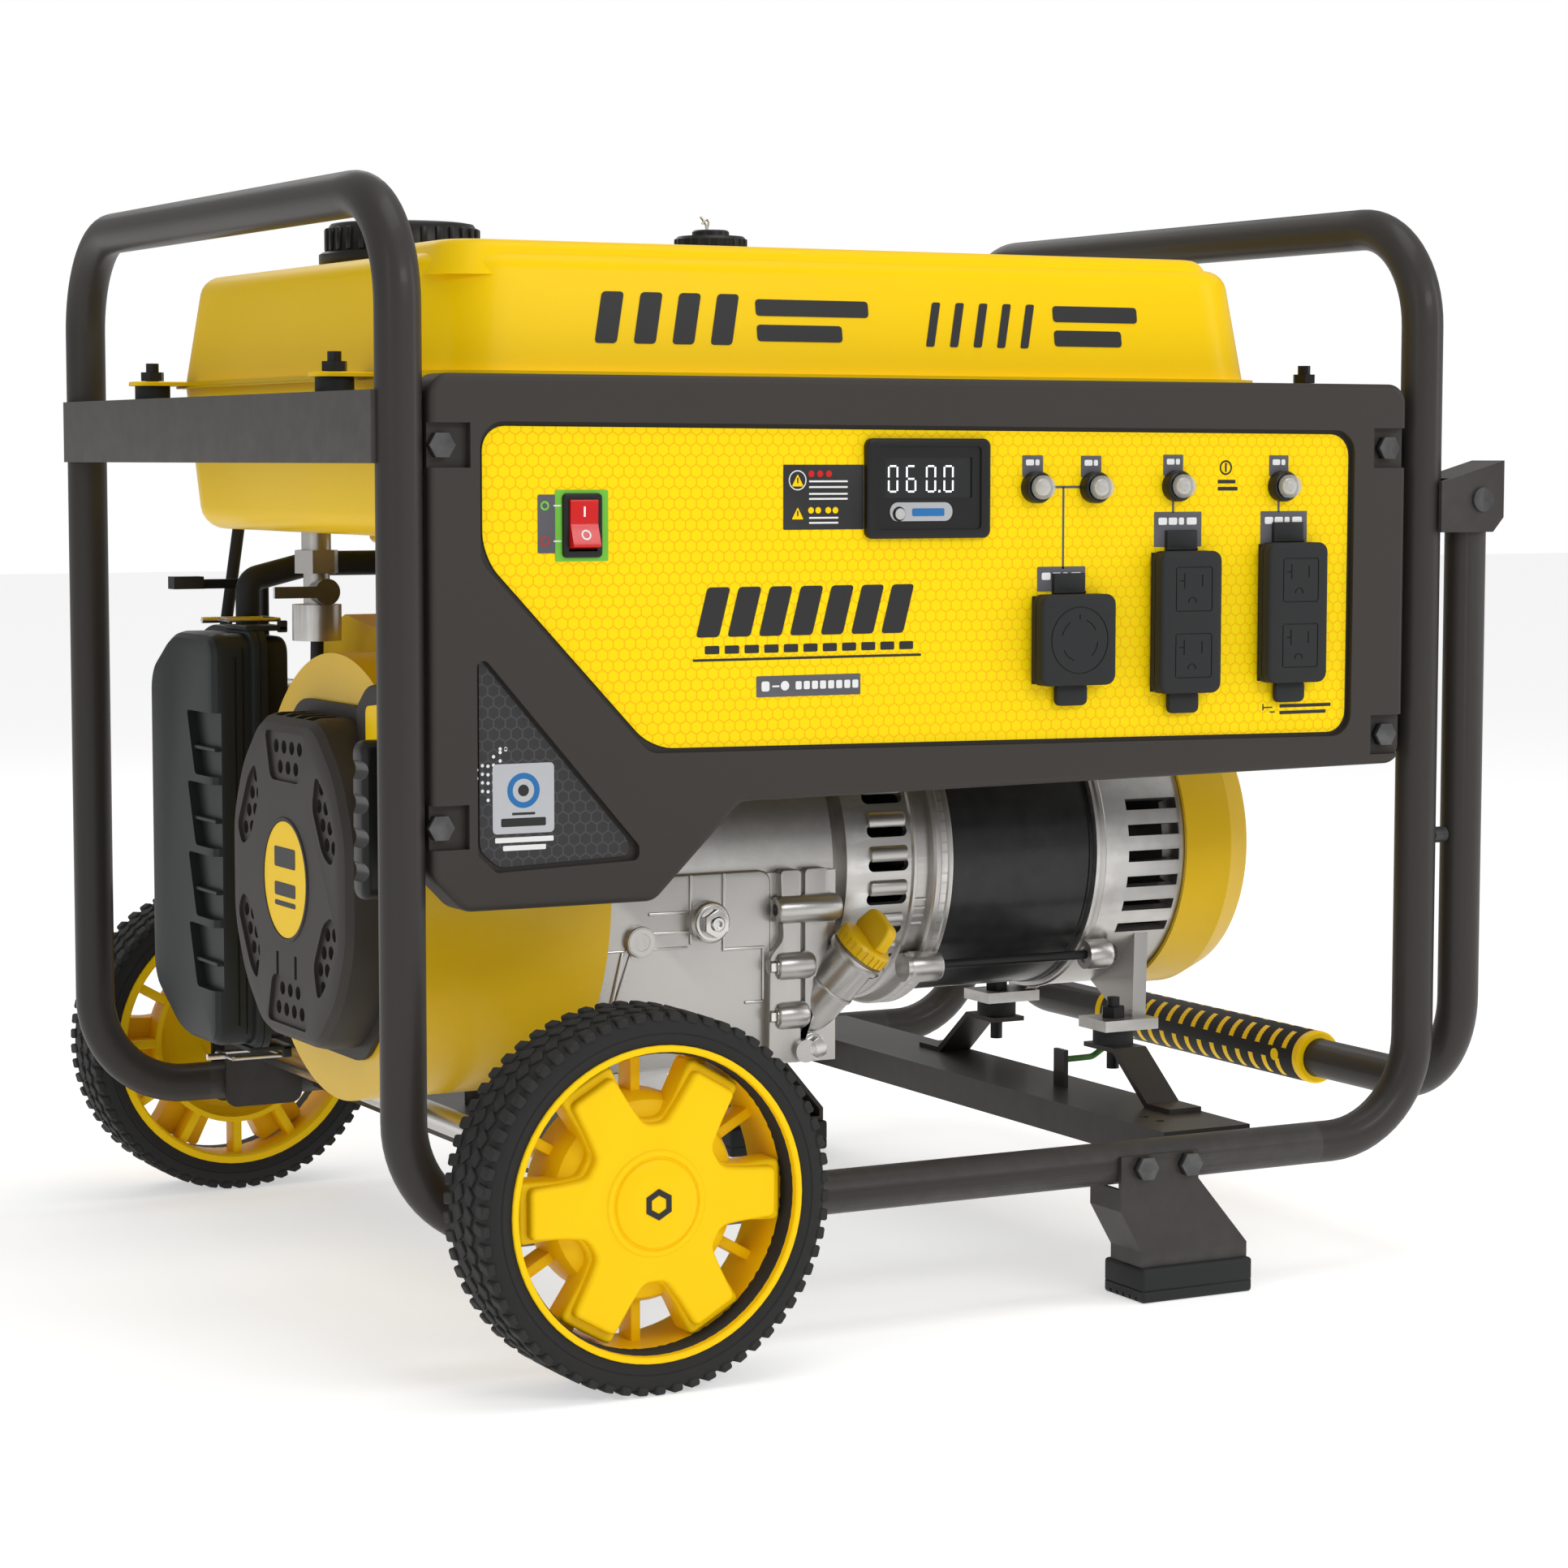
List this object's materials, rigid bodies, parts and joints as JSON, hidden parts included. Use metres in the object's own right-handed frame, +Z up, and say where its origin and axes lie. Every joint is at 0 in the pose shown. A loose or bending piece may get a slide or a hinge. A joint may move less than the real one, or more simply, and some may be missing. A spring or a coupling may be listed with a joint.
{
  "type": "portable generator",
  "caption": "Open-frame petrol generator: tube frame, two wheels, fold-down handle, tank, front outlet panel, engine and alternator on one shaft.",
  "frame": {"origin": "on the floor under the centre of the bounding box of the whole machine, handle hanging down", "axes": "+X towards the handle end, -X towards the recoil starter and wheels, -Y out of the control panel, +Z up"},
  "size_m": [0.744, 0.7082, 0.6573],
  "materials": {
    "frame_paint": "satin powder coat, dark brown-grey",
    "black_rubber": "matte moulded rubber",
    "grip_rubber": "soft black over-mould on a yellow core",
    "zinc_steel": "zinc plated",
    "tyre_rubber": "matte, solid tyre",
    "wheel_yellow": "semi-gloss moulded",
    "tank_yellow": "gloss enamel",
    "shroud_yellow": "satin enamel",
    "cap_plastic": "moulded, fine texture",
    "panel_plastic": "fine textured, dark brown-grey",
    "fascia_print": "satin printed overlay",
    "black_plastic": "satin black",
    "rocker_red": "gloss",
    "button_metal": "bright",
    "cast_aluminium": "die cast, satin",
    "dipstick_yellow": "satin",
    "machined_steel": "ground",
    "flywheel_iron": "cast",
    "stator_black": "satin black",
    "rotor_steel": "laminated steel",
    "muffler_steel": "heat-proof black",
    "filter_plastic": "charcoal, fine texture",
    "wire_green": "green insulation"
  },
  "bodies": {
    "chassis": {"adapter_bell": "cast_aluminium", "air_filter_base": "filter_plastic", "air_filter_cover": "filter_plastic", "axle": "zinc_steel", "blower_housing": "shroud_yellow", "bottom_rails": "frame_paint", "breaker_bodies": "black_plastic", "carburettor": "cast_aluminium", "crankcase": "cast_aluminium", "cross_beams": "frame_paint", "cylinder_head": "cast_aluminium", "display_module": "black_plastic", "end_cover": "shroud_yellow", "fasteners": "zinc_steel", "fuel_valve": "cast_aluminium", "ground_wires": "wire_green", "hoop_left": "frame_paint", "hoop_right": "frame_paint", "hoses": "black_rubber", "leg_feet": "black_rubber", "muffler": "muffler_steel", "outlet_sockets": "black_rubber", "panel_fascias": "fascia_print", "panel_housing": "panel_plastic", "rear_bell": "cast_aluminium", "recoil_cover": "panel_plastic", "rubber_mounts": "black_rubber", "side_bands": "frame_paint", "stator": "stator_black", "support_legs": "frame_paint", "switch_bezel": "black_plastic", "tank_ears": "tank_yellow", "tank_lower": "tank_yellow", "tank_upper": "tank_yellow", "vent_valve": "cap_plastic"},
    "wheel_front": {"rim_front": "wheel_yellow", "tyre_front": "tyre_rubber"},
    "wheel_rear": {"rim_rear": "wheel_yellow", "tyre_rear": "tyre_rubber"},
    "handle": {"handle_tube": "frame_paint", "handle_grip": "grip_rubber"},
    "rocker": {"power_rocker": "rocker_red"},
    "display_key": {"display_button": "button_metal"},
    "breaker_1": {"breaker_button_1": "button_metal"},
    "breaker_2": {"breaker_button_2": "button_metal"},
    "breaker_3": {"breaker_button_3": "button_metal"},
    "breaker_4": {"breaker_button_4": "button_metal"},
    "twist_lock_flap": {"cover_twist_lock": "black_rubber"},
    "duplex_inner_flap": {"cover_duplex_inner": "black_rubber"},
    "duplex_outer_flap": {"cover_duplex_outer": "black_rubber"},
    "tank_cap": {"fuel_cap": "cap_plastic"},
    "valve_handle": {"fuel_valve_lever": "zinc_steel"},
    "choke": {"choke_lever": "cap_plastic"},
    "recoil_handle": {"starter_grip": "cap_plastic"},
    "oil_cap": {"dipstick": "dipstick_yellow"},
    "rotating_shaft": {"crankshaft": "machined_steel", "flywheel_fan": "flywheel_iron", "rotor": "rotor_steel"},
    "clip_top": {"filter_clip_top": "zinc_steel"},
    "clip_bottom": {"filter_clip_bottom": "zinc_steel"}
  },
  "joints": [
    {"name": "wheel_front_spin", "type": "hinge", "parent": "chassis", "child": "wheel_front", "pos_m": [-0.24395, -0.327, 0.1041], "axis": [0, 1, 0], "continuous": true},
    {"name": "wheel_rear_spin", "type": "hinge", "parent": "chassis", "child": "wheel_rear", "pos_m": [-0.24395, 0.327, 0.1041], "axis": [0, 1, 0], "continuous": true},
    {"name": "handle_fold", "type": "hinge", "parent": "chassis", "child": "handle", "pos_m": [0.35445, 0, 0.477], "axis": [0, -1, 0], "range_deg": [0, 90]},
    {"name": "power_rock", "type": "hinge", "parent": "chassis", "child": "rocker", "pos_m": [-0.25345, -0.275, 0.4654], "axis": [1, 0, 0], "range_deg": [0, 18]},
    {"name": "display_press", "type": "slide", "parent": "chassis", "child": "display_key", "axis": [0, 1, 0], "range_m": [0, 0.001], "stiffness_N_per_m": 300},
    {"name": "breaker_1_press", "type": "slide", "parent": "chassis", "child": "breaker_1", "axis": [0, 1, 0], "range_m": [0, 0.003], "stiffness_N_per_m": 300},
    {"name": "breaker_2_press", "type": "slide", "parent": "chassis", "child": "breaker_2", "axis": [0, 1, 0], "range_m": [0, 0.003], "stiffness_N_per_m": 300},
    {"name": "breaker_3_press", "type": "slide", "parent": "chassis", "child": "breaker_3", "axis": [0, 1, 0], "range_m": [0, 0.003], "stiffness_N_per_m": 300},
    {"name": "breaker_4_press", "type": "slide", "parent": "chassis", "child": "breaker_4", "axis": [0, 1, 0], "range_m": [0, 0.003], "stiffness_N_per_m": 300},
    {"name": "twist_lock_open", "type": "hinge", "parent": "chassis", "child": "twist_lock_flap", "pos_m": [0.05835, -0.2792, 0.4244], "axis": [-1, 0, 0], "range_deg": [0, 90]},
    {"name": "duplex_inner_open", "type": "hinge", "parent": "chassis", "child": "duplex_inner_flap", "pos_m": [0.13655, -0.2792, 0.4487], "axis": [-1, 0, 0], "range_deg": [0, 90]},
    {"name": "duplex_outer_open", "type": "hinge", "parent": "chassis", "child": "duplex_outer_flap", "pos_m": [0.21325, -0.2792, 0.453], "axis": [-1, 0, 0], "range_deg": [0, 90]},
    {"name": "cap_turn", "type": "hinge", "parent": "chassis", "child": "tank_cap", "pos_m": [-0.23055, 0.03, 0.63], "axis": [0, 0, 1], "range_deg": [0, 120]},
    {"name": "fuel_valve_turn", "type": "hinge", "parent": "chassis", "child": "valve_handle", "pos_m": [-0.29055, 0.01, 0.421], "axis": [0, -1, 0], "range_deg": [0, 90]},
    {"name": "choke_swing", "type": "hinge", "parent": "chassis", "child": "choke", "pos_m": [-0.26655, 0.182, 0.39], "axis": [0, 0, 1], "range_deg": [0, 25]},
    {"name": "recoil_pull", "type": "slide", "parent": "chassis", "child": "recoil_handle", "axis": [-1, 0, 0], "range_m": [0, 0.6], "stiffness_N_per_m": 25},
    {"name": "oil_cap_turn", "type": "hinge", "parent": "chassis", "child": "oil_cap", "pos_m": [-0.01505, -0.1595, 0.204], "axis": [0.4832, -0.4412, 0.7563], "continuous": true},
    {"name": "engine_shaft_spin", "type": "hinge", "parent": "chassis", "child": "rotating_shaft", "pos_m": [-0.01855, -0.05, 0.254], "axis": [1, 0, 0], "continuous": true},
    {"name": "clip_top_release", "type": "hinge", "parent": "chassis", "child": "clip_top", "pos_m": [-0.28455, 0.121, 0.4005], "axis": [0, 1, 0], "range_deg": [0, 100]},
    {"name": "clip_bottom_release", "type": "hinge", "parent": "chassis", "child": "clip_bottom", "pos_m": [-0.28455, 0.121, 0.1235], "axis": [0, -1, 0], "range_deg": [0, 80]}
  ]
}
